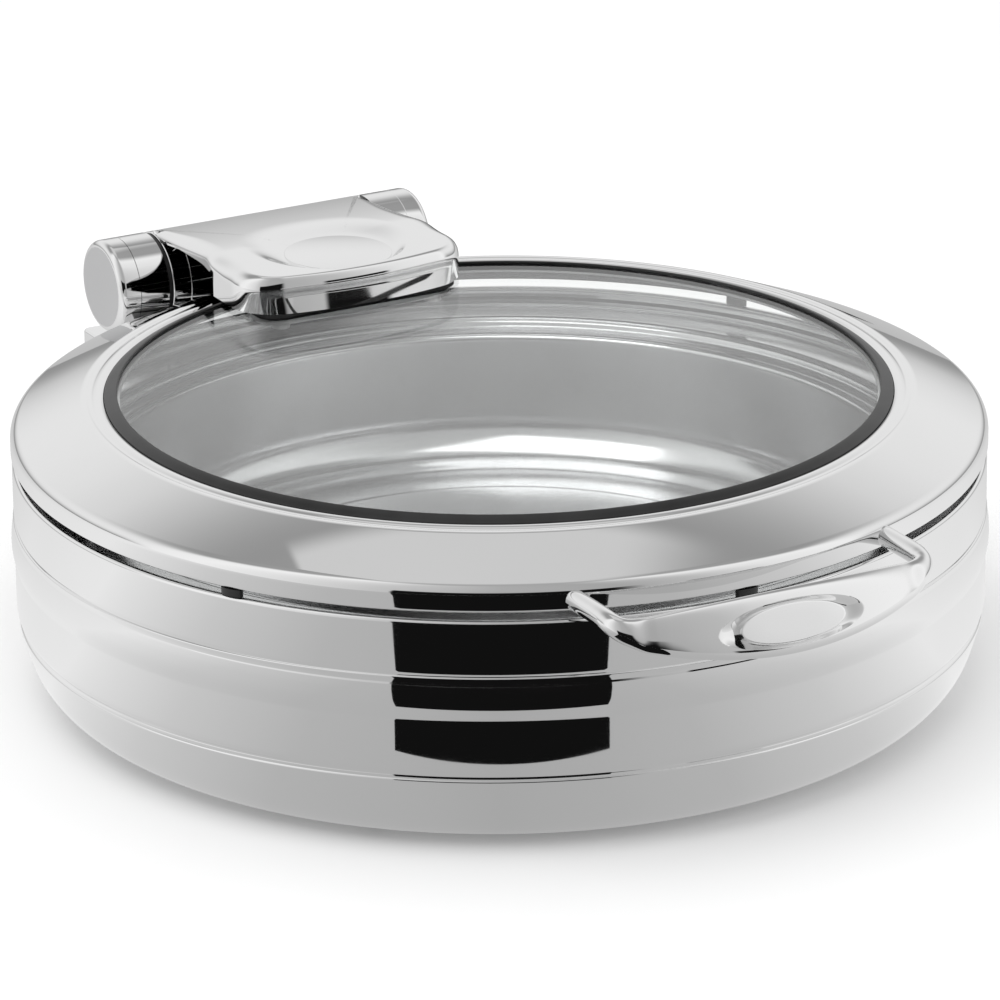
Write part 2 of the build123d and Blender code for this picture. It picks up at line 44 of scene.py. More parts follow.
camera_data = bpy.data.cameras.new("camera")
camera_data.lens = 234
camera_data.sensor_width = 36
camera_data.clip_end = 50
camera = bpy.data.objects.new("camera", camera_data)
scene.collection.objects.link(camera)
right = Vector((0.87710, -0.48022, -0.00940))
up = Vector((0.17459, 0.30051, 0.93766))
forward = Vector((0.44745, 0.82408, -0.34742))
camera.matrix_world = Matrix.Translation((-1.4514, -2.6731, 1.2174)) @ Matrix(
    [(right[i], up[i], -forward[i]) for i in range(3)]
).to_4x4()
scene.camera = camera
scene.view_settings.view_transform = "Standard"

# ---- Materials ----


def material(name, **sockets):
    """A Principled material; returns it with its node tree and its shader node."""
    mat = bpy.data.materials.new(name)
    mat.use_nodes = True
    tree = mat.node_tree
    shader = tree.nodes["Principled BSDF"]
    for socket, value in sockets.items():
        shader.inputs[socket.replace("_", " ")].default_value = value
    return mat, tree, shader


def object_coords(tree, scale=(1, 1, 1)):
    coords = tree.nodes.new("ShaderNodeTexCoord")
    mapping = tree.nodes.new("ShaderNodeMapping")
    mapping.inputs["Scale"].default_value = scale
    tree.links.new(coords.outputs["Object"], mapping.inputs["Vector"])
    return mapping.outputs["Vector"]


def noise(tree, scale, detail=3.0, stretch=(1, 1, 1)):
    node = tree.nodes.new("ShaderNodeTexNoise")
    node.inputs["Scale"].default_value = scale
    node.inputs["Detail"].default_value = detail
    tree.links.new(object_coords(tree, stretch), node.inputs["Vector"])
    return node.outputs["Fac"]


def ramp(tree, factor, stops, ease="LINEAR"):
    node = tree.nodes.new("ShaderNodeValToRGB")
    node.color_ramp.interpolation = ease
    elements = node.color_ramp.elements
    while len(elements) < len(stops):
        elements.new(0.5)
    for element, (place, value) in zip(elements, stops):
        element.position = place
        element.color = (value, value, value, 1) if isinstance(value, (int, float)) else (*value, 1)
    tree.links.new(factor, node.inputs["Fac"])
    return node.outputs["Color"]


def bump(tree, shader, height, strength, distance=0.001):
    node = tree.nodes.new("ShaderNodeBump")
    node.inputs["Strength"].default_value = strength
    node.inputs["Distance"].default_value = distance
    tree.links.new(height, node.inputs["Height"])
    tree.links.new(node.outputs["Normal"], shader.inputs["Normal"])


def steel(name, tone, rough_low, rough_high, grain=0.0, stretch=(1, 1, 1)):
    """Stainless steel: faint smears in the polish, and an optional drawn grain."""
    mat, tree, shader = material(name, Metallic=1.0)
    smear = noise(tree, 9, 5)
    tint = ramp(tree, smear, [(0.3, tone), (0.7, [min(1, c * 1.03) for c in tone])])
    tree.links.new(tint, shader.inputs["Base Color"])
    wear = noise(tree, 38, 6)
    tree.links.new(ramp(tree, wear, [(0.35, rough_low), (0.75, rough_high)]), shader.inputs["Roughness"])
    if grain:
        bump(tree, shader, noise(tree, 900, 2, stretch), grain, 0.0001)
    return mat


mirror_steel = steel("mirror_steel", (0.86, 0.86, 0.86), 0.02, 0.045)
pan_steel = steel("pan_steel", (0.72, 0.72, 0.725), 0.13, 0.19, 0.05, (1, 1, 12))
cap_steel = steel("cap_steel", (0.66, 0.66, 0.665), 0.34, 0.42, 0.08)
# Near-black steel: painted shade for the dark gap under the lid, used on the ledge ring and on the skirt's
# inner side
shade_painted_steel = steel("shade_painted_steel", (0.10, 0.10, 0.10), 0.45, 0.6, 0.1)
satin_steel = steel("satin_steel", (0.62, 0.62, 0.62), 0.28, 0.36, 0.12, (1, 12, 1))
badge_steel = steel("badge_steel", (0.88, 0.88, 0.88), 0.10, 0.16)
aluminium = steel("core_metal", (0.75, 0.75, 0.76), 0.3, 0.4, 0.1)
bronze = steel("bronze", (0.55, 0.38, 0.18), 0.3, 0.42)


def polymer(name, low, high, rough, grain, scale=500):
    mat, tree, shader = material(name, Roughness=rough)
    tree.links.new(ramp(tree, noise(tree, 60, 4), [(0.3, low), (0.7, high)]), shader.inputs["Base Color"])
    bump(tree, shader, noise(tree, scale, 3), grain, 0.0002)
    return mat


black_silicone = polymer("black_silicone", 0.008, 0.014, 0.32, 0.08)
black_plastic = polymer("black_plastic", 0.01, 0.02, 0.4, 0.1)
pad_rubber = polymer("pad_rubber", 0.012, 0.02, 0.6, 0.2)


def window_glass():
    mat, tree, shader = material(
        "window_glass", Base_Color=(0.95, 0.965, 0.96, 1), Roughness=0.0, IOR=1.5, Transmission_Weight=1.0
    )
    bump(tree, shader, noise(tree, 4, 1), 0.015, 0.0005)
    return mat


glass = window_glass()

looks = {
    "induction_core": aluminium, "induction_cap": satin_steel, "bracket_pad": satin_steel,
    "bracket_screws": satin_steel, "bracket_cover": satin_steel, "cover_screws": satin_steel,
    "hinge_axle": satin_steel, "axle_nuts": satin_steel, "torsion_spring": satin_steel,
    "damper_rotor": black_plastic, "damper_cartridge": black_plastic, "left_bush": bronze,
    "right_bush": bronze, "upper_pad": pad_rubber, "lower_pad": pad_rubber, "clamp_plate": satin_steel,
    "clamp_screws": satin_steel, "lid_bumpers": black_silicone, "lid_glass": glass,
    "glass_retainer": satin_steel, "handle_spacers": satin_steel, "handle_screws": satin_steel,
    "left_thrust_washer": black_plastic, "right_thrust_washer": black_plastic,
    "hinge_bracket": mirror_steel,
}
for node_name, look in looks.items():
    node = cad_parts[node_name]
    if not node.material_slots:
        node.data.materials.append(look)
    for held in node.material_slots:
        held.material = look

# ---- Mesh helpers. Coordinates are in millimetres until a mesh is made ----


def add_mesh(name, points, faces, look, sharp=32):
    mesh = bpy.data.meshes.new(name)
    mesh.from_pydata([tuple(c * MM for c in p) for p in points], [], faces)
    shape = bmesh.new()
    shape.from_mesh(mesh)
    bmesh.ops.remove_doubles(shape, verts=shape.verts, dist=1e-6)
    bmesh.ops.recalc_face_normals(shape, faces=shape.faces)
    shape.to_mesh(mesh)
    shape.free()
    for face in mesh.polygons:
        face.use_smooth = True
    mesh.set_sharp_from_angle(angle=radians(sharp))
    mesh.materials.append(look)
    piece = bpy.data.objects.new(name, mesh)
    scene.collection.objects.link(piece)
    return piece


def place(piece, body, slot, *nodes):
    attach(piece, body)
    if nodes:
        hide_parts(*nodes)
    return piece


def arc(centre, radius, start, end, count=12):
    """Points on an arc, its angles in degrees from the first axis towards the second."""
    angles = [radians(start + (end - start) * i / count) for i in range(count + 1)]
    return [(centre[0] + radius * cos(a), centre[1] + radius * sin(a)) for a in angles]


def spline(points, count):
    """A Catmull-Rom curve through the points, sampled evenly in its parameter."""
    spans = len(points) - 1
    ends = [[2 * a - b for a, b in zip(points[0], points[1])]]
    last = [[2 * a - b for a, b in zip(points[-1], points[-2])]]
    padded = ends + [list(p) for p in points] + last
    out = []
    for i in range(count + 1):
        t = i / count * spans
        k = min(int(t), spans - 1)
        t -= k
        p0, p1, p2, p3 = padded[k : k + 4]
        out.append(tuple(
            0.5 * (2 * b + (c - a) * t + (2 * a - 5 * b + 4 * c - d) * t**2 + (3 * b - a - 3 * c + d) * t**3)
            for a, b, c, d in zip(p0, p1, p2, p3)
        ))
    return out


def thicken(path, gauge):
    """Closes an open line into a sheet's section, with the gauge on the line's left."""
    inner = []
    for i, (x, y) in enumerate(path):
        before = path[max(i - 1, 0)]
        after = path[min(i + 1, len(path) - 1)]
        sides = []
        for (x0, y0), (x1, y1) in ((before, (x, y)), ((x, y), after)):
            length = hypot(x1 - x0, y1 - y0)
            if length > 1e-9:
                sides.append((-(y1 - y0) / length, (x1 - x0) / length))
        nx, ny = sum(s[0] for s in sides), sum(s[1] for s in sides)
        size = hypot(nx, ny)
        nx, ny = nx / size, ny / size
        stretch = max(nx * sides[0][0] + ny * sides[0][1], 0.5)
        inner.append((max(x + nx * gauge / stretch, 0), y + ny * gauge / stretch))
    return path + inner[::-1]


def lathe(name, section, look, count=360, axis="z", centre=(0, 0, 0), sharp=32):
    """Turns a closed section of (radius, height) points round the Z axis, or round an X axis."""
    points, faces = [], []
    for i in range(count):
        a = 2 * pi * i / count
        for r, h in section:
            if axis == "z":
                points.append((centre[0] + r * sin(a), centre[1] - r * cos(a), centre[2] + h))
            else:
                points.append((centre[0] + h, centre[1] + r * cos(a), centre[2] + r * sin(a)))
    n = len(section)
    for i in range(count):
        j = (i + 1) % count
        for k in range(n):
            m = (k + 1) % n
            if section[k][0] == 0 and section[m][0] == 0:
                continue
            quad = [i * n + k, j * n + k, j * n + m, i * n + m]
            faces.append(quad)
    return add_mesh(name, points, faces, look, sharp)


def smooth(t):
    t = min(max(t, 0), 1)
    return t * t * (3 - 2 * t)


def lerp(a, b, t):
    return a + (b - a) * t


# ---- Bowl, ledge and pan ----

gauge = 1.2
bowl_line = (
    [(0, 3.2), (154, 3.2), (156, 1.0)]
    + arc((158.4, 2.2), 2.2, 225, 270, 4)
    + arc((204, 34.5), 34.5, -90, -17, 40)
    + [(240.9, 37.5)]
    + arc((240.0, 38.6), 1.1, -17, 60, 6)
    + arc((241.6, 41.4), 1.0, 210, 160, 4)
    + spline([(240.9, 42.2), (241.5, 43.2), (241.95, 44.6), (242.1, 46.6)], 10)
    + [(242.1, 69.5)]
    + spline([(242.1, 70.5), (242.55, 72.2), (243.3, 75.4), (243.6, 79), (243.35, 83.5), (242.8, 87.2),
              (242.45, 88.8)], 24)
    + [(242.5, 90.6)]
    + arc((241.9, 91.2), 0.6, 0, 60, 3)
    + [(241.7, 92.0)]
    + spline([(241.75, 92.6), (241.95, 93.3), (242.1, 94.4)], 5)
    + arc((240.1, 118), 2, 0, 180, 14)
    + [(238.1, 115)]
)
body = lathe("bowl", thicken(bowl_line, gauge), mirror_steel, count=480)
place(body, "base", "polished_steel", "body_shell")

ledge_line = (
    [(240.8, 98)]
    + arc((239.3, 108.5), 1.5, 0, 90, 6)
    + [(226, 110)]
    + arc((226, 108), 2, 90, 180, 6)
    + [(224, 105)]
)
# The ledge ring is near-black: painted shade under the lid's rim
ledge = lathe("ledge_ring", thicken(ledge_line, gauge), shade_painted_steel)
place(ledge, "base", "pan_steel", "pan_ledge")

pan_line = (
    [(0, 39), (148, 39)]
    + spline([(149.5, 38.9), (151, 38.5), (152.5, 38.1), (154, 38)], 6)
    + [(174, 38)]
    + arc((176, 63), 25, -90, -2, 26)
    + [(202.3, 101.5)]
    + arc((204.9, 102.6), 2.6, 178, 90, 8)
    + [(206, 105.2)]
    + spline([(208, 105.15), (210.5, 105.0), (213.2, 105.8), (214.6, 108.6), (216.4, 110.1),
              (219, 110.3)], 16)
    + [(230, 110.3)]
    + arc((232.6, 112.9), 2.6, -90, 0, 8)
    + [(235.2, 114.1)]
)
pan = lathe("food_pan_spun", thicken(pan_line, 0.8), pan_steel)
place(pan, "pan", "pan_steel", "food_pan")

# ---- Lid ring and gasket ----

band_top = (207.6, 150.62)
ring_line = (
    [(238.5, 126.6)]
    + arc((240.5, 126), 2, 180, 360, 16)
    + [(242.5, 131.0)]
    + arc((235.5, 131.8), 7, 0, 68, 24)
    + [band_top]
    + spline([(206.2, 151.0), (204.6, 151.0), (203.2, 150.7), (201.9, 150.75), (200.6, 151.25), (199, 151.6),
              (197.4, 151.4), (196.2, 150.9)], 28)
    + arc((196.4, 150.1), 0.8, 120, 180, 4)
    + [(195.6, 146.5)]
)
ring = lathe("lid_ring_spun", thicken(ring_line, gauge), mirror_steel, count=480)
ring.data.materials.append(shade_painted_steel)
skirt_r, skirt_top_z = 0.232, 0.136
# The skirt's inward-facing faces get the near-black steel: painted shade for the dark gap between lid and
# bowl
for face in ring.data.polygons:
    spoke = Vector((face.center.x, face.center.y, 0))
    if spoke.length > skirt_r and face.center.z < skirt_top_z and face.normal.dot(spoke.normalized()) < -0.3:
        face.material_index = 1
place(ring, "lid", "polished_steel", "lid_ring")

gasket_section = (
    [(188.8, 148.15), (188.8, 146.7), (195.5, 146.7), (195.5, 150.9)]
    + arc((194.9, 150.7), 0.6, 20, 75, 3)
    + spline([(194.4, 151.6), (192.5, 152.6), (190.8, 153.3), (189.9, 153.55)], 8)
    + arc((189.7, 152.9), 0.65, 75, 180, 5)
    + [(189.0, 152.27), (192.1, 152.27), (192.1, 148.15)]
)
gasket = lathe("window_gasket", gasket_section, black_silicone)
place(gasket, "lid", "black_silicone", "glass_gasket")

# ---- Hinge: barrel caps and knuckle ----

hinge = (0, 266, 141.3)
cap_face_x = 91.95
for side, cad_name in ((-1, "left_end_cap"), (1, "right_end_cap")):
    rim = [(r, side * x) for r, x in (
        [(19.9, 74.1), (24.3, 80.12), (24.5, 80.3), (24.5, 88.2)]
        + [(b, a) for a, b in arc((88.2, 20.7), 3.8, 90, 0, 14)]
    )]
    section = [(16, side * 74.1)] + rim[:1] + [(19.9, side * 80.12)] + rim[1:] + [(0, side * 92)]
    section += [(0, side * 80.12), (16, side * 80.12)]
    cap = lathe(cad_name + "_turned", section, mirror_steel, count=160, axis="x", centre=hinge)
    cap.data.materials.append(cap_steel)
    for face in cap.data.polygons:
        if face.center.x * side > cap_face_x * MM:
            face.material_index = 1
    place(cap, "base", "polished_steel", cad_name)

groove = [(24.5, 0), (24.2, 0.15), (24.0, 0.4), (24.0, 0.7), (24.2, 0.95), (24.5, 1.1)]
outer = arc((-60.8, 23.9), 0.6, 180, 90, 4)
outer = [(r, x) for x, r in outer]
outer += [(r, -51.5 + x) for r, x in groove] + [(r, 50.4 + x) for r, x in groove]
outer += [(r, x) for x, r in arc((60.8, 23.9), 0.6, 90, 0, 4)]
knuckle_section = outer + [(12, 61.4), (12, 40), (18, 40), (18, -40), (12, -40), (12, -61.4)]
knuckle = lathe("hinge_knuckle", knuckle_section, mirror_steel, count=200, axis="x", centre=hinge)
place(knuckle, "lid", "polished_steel")

# ---- Hinge arm: tongue and roof, with its dish ----

foot_z, roof_z, roof_under = 154.2, 174.5, 166.0
roof_ridge, roof_front_z, roof_back_z = 196.0, 172.6, 167.3
tongue_half, tongue_front, tongue_bow, corner = 64.5, 138.5, 9.5, 25.0
tongue_back, roof_half, roof_back = 188.0, 61.3, 266.0
neck_y = 220
disc_r, disc_centre, dish_z = 28.2, 172.5, 171.0
dish_r, dish_centre = 44.0, 187.6
# The rolled edge: how far it reaches in and down, and how far the front wall leans
roll_reach, roll_side_extra = 4.9, 5.6
roll_depth, roll_back_less = 8.6, 3.4
wall_lean = 1.75


def arm_outline():
    """The arm's plan as (x, y) points, counterclockwise from the middle of the front."""
    front_r = (tongue_half**2 + tongue_bow**2) / (2 * tongue_bow)
    front_centre = tongue_front + front_r
    half = []
    # Corner circle of the given radius, tangent to the front arc and to the side line
    cx = tongue_half - corner
    cy = front_centre - sqrt((front_r - corner) ** 2 - cx**2)
    join = atan2(cx, front_centre - cy)
    for i in range(36):
        a = join * i / 36
        half.append((front_r * sin(a), front_centre - front_r * cos(a)))
    for i in range(30):
        a = join + (pi / 2 - join) * i / 30
        half.append((cx + corner * sin(a), cy - corner * cos(a)))
    for i in range(12):
        half.append((tongue_half, cy + (tongue_back - cy) * i / 12))
    side_points = [(tongue_half, tongue_back), (64.3, 192), (63.4, 197), (62.2, 203), (61.5, 210),
                   (roof_half, neck_y)]
    half += spline(side_points, 14)[:-1]
    for i in range(19):
        half.append((roof_half, neck_y + (roof_back - neck_y) * i / 18))
    for i in range(1, 17):
        half.append((roof_half * (1 - i / 16), roof_back))
    right_half = half[:-1]
    left_half = [(-x, y) for x, y in half[1:]][::-1]
    return right_half + [half[-1]] + left_half[1:]


outline = arm_outline()
count = len(outline)


def roof_line(y):
    """The roof's height along its length, before the dish is sunk in it."""
    if y > roof_ridge:
        return lerp(roof_z, roof_back_z, ((y - roof_ridge) / (roof_back + 1 - roof_ridge)) ** 1.25)
    return lerp(roof_z, roof_front_z, ((roof_ridge - y) / (roof_ridge - tongue_front)) ** 1.6)


def roof_height(x, y):
    """The roof with its dish, whose circles shift back as they widen."""
    wide, shift, forward_y = dish_r - disc_r, dish_centre - disc_centre, y - disc_centre
    square = wide**2 - shift**2
    linear = 2 * (disc_r * wide + forward_y * shift)
    rest = disc_r**2 - x**2 - forward_y**2
    share = (sqrt(max(linear**2 - 4 * square * rest, 0)) - linear) / (2 * square)
    return lerp(dish_z, roof_line(y), smooth(share))


steps, wall_steps = 24, 5


def outline_normal(i):
    x0, y0 = outline[i - 1]
    x1, y1 = outline[(i + 1) % count]
    length = hypot(x1 - x0, y1 - y0)
    return (y1 - y0) / length, -(x1 - x0) / length


def arm_ring(step):
    """One ring of the arm's wall and rolled edge, from the foot up to the roof."""
    rise = min(step / wall_steps, 1)
    turn_in = pi / 2 * max(step - wall_steps, 0) / (steps - wall_steps)
    ring_points = []
    for i, (x, y) in enumerate(outline):
        if abs(y - roof_back) < 1e-6:
            px, py = x * (1 - 0.02 * step / steps), y - 1.2 * step / steps
            ring_points.append((px, py, lerp(160, roof_line(py), min(1, 3 * step / steps))))
            continue
        nx, ny = outline_normal(i)
        roll_in = roll_reach + roll_side_extra * (smooth((y - 141) / 42) - smooth((y - 222) / 42))
        roll_down = roll_depth - roll_back_less * smooth((y - 172) / 30)
        low = roof_under - max(0, y - 250) * 0.5 if y >= tongue_back - 1e-6 else foot_z
        lean_in = wall_lean * smooth((151 - y) / 10)
        inset = lean_in * rise + (roll_in - lean_in) * (1 - cos(turn_in))
        px, py = x - nx * inset, y - ny * inset
        top = roof_line(py)
        ring_points.append((px, py, lerp(low, top - roll_down, rise) + roll_down * sin(turn_in)))
    return ring_points


rings = [arm_ring(step) for step in range(steps + 1)]
last = rings[-1]
inner_steps = 26
for k in range(1, inner_steps + 1):
    t = k / inner_steps
    now = []
    for x, y, z in last:
        a = atan2(x, -(y - disc_centre))
        px = lerp(x, disc_r * sin(a), t)
        py = lerp(y, disc_centre - disc_r * cos(a), t)
        now.append((px, py, roof_height(px, py)))
    rings.append(now)
arm_points = [p for now in rings for p in now]
arm_faces = []
for k in range(len(rings) - 1):
    for i in range(count):
        j = (i + 1) % count
        arm_faces.append([k * count + i, k * count + j, (k + 1) * count + j, (k + 1) * count + i])
arm_points.append((0, disc_centre, dish_z))
top_ring = (len(rings) - 1) * count
for i in range(count):
    arm_faces.append([top_ring + i, top_ring + (i + 1) % count, len(arm_points) - 1])
# Underside: the tongue's foot, its back wall and the roof's flat underside
right_back = max(i for i in range(count // 2) if outline[i][1] <= tongue_back + 1e-6 and outline[i][0] > 0)
left_back = count - right_back
foot_right, foot_left = len(arm_points), len(arm_points) + 1
arm_points += [(tongue_half, tongue_back, foot_z), (-tongue_half, tongue_back, foot_z)]
front_loop = [i % count for i in range(left_back + 1, count + right_back)]
arm_faces.append(front_loop + [foot_right, foot_left])
arm_faces.append([right_back - 1, right_back, foot_right])
arm_faces.append([left_back + 1, foot_left, left_back])
arm_faces.append([foot_left, foot_right, right_back, left_back])
arm_faces.append(list(range(right_back, left_back + 1)))
arm = add_mesh("hinge_arm_shell", arm_points, arm_faces, mirror_steel, 40)
place(arm, "lid", "polished_steel", "hinge_arm")

medallion_section = (
    [(0, 170.9), (27.9, 170.9), (27.9, 171.45)]
    + arc((27.6, 171.45), 0.3, 0, 90, 4)
    + [(0, 171.75)]
)
medallion = lathe(
    "arm_medallion_disc", medallion_section, mirror_steel, count=180, centre=(0, disc_centre, 0)
)
place(medallion, "lid", "polished_steel", "arm_medallion")

# ---- Lid handle: two arms that run into a leaning crescent plate ----

lean = radians(65)
plate_r, grip_z, plate_t = 280.0, 129.5, 6.0


def plate_mid_r(z):
    return plate_r + (grip_z - z) / tan(lean) - plate_t / 2 / sin(lean)


def plate_station(x):
    share = (x / 90) ** 2
    z = 121.15 + 4.6 * share
    r = plate_mid_r(z)
    half_width = 15.28 - 11.14 * share
    half_thick = 3.0
    return (x, -sqrt(r * r - x * x), z, half_width, half_thick, degrees(asin(x / r)), 2.5)


arm_stations = [
    (84, -226.6, 129.5, 5, 5, 90, 2),
    (84, -234, 129.5, 5, 5, 90, 2),
    (84, -242, 129.5, 5, 5, 90, 2),
    (84, -250, 129.45, 5, 5, 89, 2),
    (83.9, -256.5, 129.1, 5.1, 4.9, 82, 2),
    (83.2, -261.6, 128.2, 5.4, 4.6, 66, 2.05),
    (81.2, -265.2, 126.9, 5.9, 4.1, 45, 2.15),
    (77.6, -267.6, 125.6, 6.7, 3.6, 26, 2.25),
]
half_stations = arm_stations + [plate_station(x) for x in (72, 66, 60, 52, 44, 36, 28, 20, 10)]
stations = [
    (-x, y, z, a, b, -turn, n) for x, y, z, a, b, turn, n in half_stations
] + [plate_station(0)] + half_stations[::-1]
fine = spline(stations, 420)
around = 112
handle_points, handle_faces = [], []
for x, y, z, a, b, turn, power in fine:
    psi = radians(turn)
    out_dir = Vector((sin(psi), -cos(psi), 0))
    down = out_dir * cos(lean) - Vector((0, 0, 1)) * sin(lean)
    normal = out_dir * sin(lean) + Vector((0, 0, 1)) * cos(lean)
    for i in range(around):
        t = 2 * pi * i / around
        u = abs(cos(t)) ** (2 / power) * (1 if cos(t) >= 0 else -1)
        v = abs(sin(t)) ** (2 / power) * (1 if sin(t) >= 0 else -1)
        handle_points.append(tuple(Vector((x, y, z)) + down * (a * u) + normal * (b * v)))
for k in range(len(fine) - 1):
    for i in range(around):
        j = (i + 1) % around
        handle_faces.append([k * around + i, k * around + j, (k + 1) * around + j, (k + 1) * around + i])
handle_faces.append(list(range(around)))
handle_faces.append([(len(fine) - 1) * around + i for i in range(around)][::-1])
handle = add_mesh("lid_handle_forged", handle_points, handle_faces, mirror_steel, 40)

# The badge's oval recess is cut from the plate
badge_v = 9.0
badge_origin = Vector((0, -(plate_r + badge_v * cos(lean)), grip_z - badge_v * sin(lean)))
badge_down = Vector((0, -cos(lean), -sin(lean)))
badge_out = Vector((0, -sin(lean), cos(lean)))
recess_a, recess_b, recess_deep = 40.0, 11.6, 2.7


def badge_point(x, v, height):
    return tuple(badge_origin + Vector((x, 0, 0)) + badge_down * v + badge_out * height)


def oval_disc(name, rows, look, count=220, sharp=32):
    """A closed oval solid from rows of (half length, half width, height or height function)."""
    points, faces = [], []
    for a, b, height in rows:
        for i in range(count):
            t = 2 * pi * i / count
            x, v = a * cos(t), b * sin(t)
            points.append(badge_point(x, v, height(x) if callable(height) else height))
    for k in range(len(rows) - 1):
        for i in range(count):
            j = (i + 1) % count
            faces.append([k * count + i, k * count + j, (k + 1) * count + j, (k + 1) * count + i])
    faces.append(list(range(count))[::-1])
    faces.append([(len(rows) - 1) * count + i for i in range(count)])
    return add_mesh(name, points, faces, look, sharp)


def plate_sag(x):
    """How far the plate's curved face lies below the badge's plane, this far from the middle."""
    return (plate_r - sqrt(plate_r**2 - x**2)) * sin(lean)


def recess_floor(x):
    return -recess_deep - 0.9 * plate_sag(x)


floor_share_a, floor_share_b = 0.735, 0.80
mouth_share_a, mouth_share_b, mouth_lift = 1.03, 1.04, 0.35
cutter_rows = [(recess_a * floor_share_a, recess_b * floor_share_b, recess_floor)]
for k in range(1, 13):
    t = k / 12
    cutter_rows.append((
        recess_a * lerp(floor_share_a, mouth_share_a, t),
        recess_b * lerp(floor_share_b, mouth_share_b, t),
        lambda x, t=t: lerp(recess_floor(x), mouth_lift - plate_sag(x), smooth(t) * 0.6 + t * 0.4),
    ))
cutter_rows.append((recess_a * mouth_share_a, recess_b * mouth_share_b, 6))
cutter = oval_disc("recess_cutter", cutter_rows, mirror_steel)
cut = handle.modifiers.new("recess", "BOOLEAN")
cut.object = cutter
cut.operation = "DIFFERENCE"
cut.solver = "EXACT"
bpy.context.view_layer.objects.active = handle
bpy.ops.object.modifier_apply(modifier="recess")
bpy.data.objects.remove(cutter)
handle.data.set_sharp_from_angle(angle=radians(30))
place(handle, "lid", "polished_steel", "lid_handle")

disc_rows = [(28.3, 9.1, -4.2), (28.3, 9.1, -1.15), (28.15, 8.97, -0.95), (27.9, 8.7, -0.85), (27, 8.2, -0.8),
             (14, 4.2, -0.75), (1, 0.3, -0.74)]
badge = oval_disc("handle_badge_disc", disc_rows, badge_steel)
place(badge, "lid", "polished_steel", "handle_badge")

# ---- Studio: pale floor, reflection cards that the camera doesn't see, soft light ----

floor_half, floor_z = 15000, -0.3
paper_z, black_z, black_value = -1.0, -0.8, 0.006
card_near = 345


def plane(name, size, z, look):
    corners = [(-size, -size, z), (size, -size, z), (size, size, z), (-size, size, z)]
    return add_mesh(name, corners, [[0, 1, 2, 3]], look)


floor_look, tree, shader = material("floor_paint", Roughness=0.9)
tree.links.new(ramp(tree, noise(tree, 3, 3), [(0.3, 0.90), (0.7, 0.92)]), shader.inputs["Base Color"])
floor = plane("floor", floor_half, floor_z, floor_look)
floor.visible_glossy = False


def emission(name):
    mat = bpy.data.materials.new(name)
    mat.use_nodes = True
    tree = mat.node_tree
    tree.nodes.clear()
    glow = tree.nodes.new("ShaderNodeEmission")
    out = tree.nodes.new("ShaderNodeOutputMaterial")
    tree.links.new(glow.outputs["Emission"], out.inputs["Surface"])
    return mat, tree, glow


camera_azimuth = atan2(camera.location.x, -camera.location.y)


def splayed_card(name, direction, near, half_width, splay, far, z, value):
    """A flat card of one brightness whose sides open outwards from the object, along a direction."""
    mat, tree, glow = emission(name)
    glow.inputs["Color"].default_value = (value, value, value, 1)
    corners = []
    for along, side in ((near, -1), (near, 1), (far, 1), (far, -1)):
        width = side * (half_width + (along - near) * tan(radians(splay)))
        corners.append((
            along * sin(direction) + width * cos(direction),
            -along * cos(direction) + width * sin(direction),
            z,
        ))
    return add_mesh(name, corners, [[0, 1, 2, 3]], mat)


def reflect_only(card):
    card.visible_camera = False
    card.visible_diffuse = False
    card.visible_shadow = False
    card.visible_transmission = False
    card.visible_volume_scatter = False


def polar_card():
    """The floor as the steel sees it: brightness by direction round the object."""
    mat, tree, glow = emission("paper_card")
    coords = tree.nodes.new("ShaderNodeTexCoord")
    split = tree.nodes.new("ShaderNodeSeparateXYZ")
    turn = tree.nodes.new("ShaderNodeMapping")
    turn.inputs["Rotation"].default_value = (0, 0, -camera_azimuth)
    tree.links.new(coords.outputs["Object"], turn.inputs["Vector"])
    tree.links.new(turn.outputs["Vector"], split.inputs["Vector"])
    flip = tree.nodes.new("ShaderNodeMath")
    flip.operation = "MULTIPLY"
    flip.inputs[1].default_value = -1
    tree.links.new(split.outputs["Y"], flip.inputs[0])
    size = tree.nodes.new("ShaderNodeMath")
    size.operation = "ABSOLUTE"
    tree.links.new(split.outputs["X"], size.inputs[0])
    angle = tree.nodes.new("ShaderNodeMath")
    angle.operation = "ARCTAN2"
    tree.links.new(size.outputs[0], angle.inputs[0])
    tree.links.new(flip.outputs[0], angle.inputs[1])
    share = tree.nodes.new("ShaderNodeMath")
    share.operation = "DIVIDE"
    share.inputs[1].default_value = pi
    tree.links.new(angle.outputs[0], share.inputs[0])
    tone = ramp(tree, share.outputs[0], [(0.0, 0.44), (0.17, 0.50), (0.30, 0.64), (0.45, 0.90), (0.62, 0.84),
                                         (0.78, 0.66), (1.0, 0.5)])
    tree.links.new(tone, glow.inputs["Color"])
    card = plane("paper_card", floor_half, paper_z, mat)
    return card


paper = polar_card()
black_front = splayed_card(
    "black_card_front", camera_azimuth, card_near, 101, 24.5, 14000, black_z, black_value
)
black_back = splayed_card(
    "black_card_back", camera_azimuth + pi, card_near, 72, 12, 2600, black_z, black_value
)
for card in (paper, black_front, black_back):
    reflect_only(card)

world = bpy.data.worlds.new("studio")
scene.world = world
world.use_nodes = True
tree = world.node_tree
tree.nodes.clear()
background = tree.nodes.new("ShaderNodeBackground")
world_out = tree.nodes.new("ShaderNodeOutputWorld")
tree.links.new(background.outputs["Background"], world_out.inputs["Surface"])
coords = tree.nodes.new("ShaderNodeTexCoord")
turn = tree.nodes.new("ShaderNodeMapping")
turn.inputs["Rotation"].default_value = (0, 0, -camera_azimuth)
tree.links.new(coords.outputs["Generated"], turn.inputs["Vector"])
split = tree.nodes.new("ShaderNodeSeparateXYZ")
tree.links.new(turn.outputs["Vector"], split.inputs["Vector"])


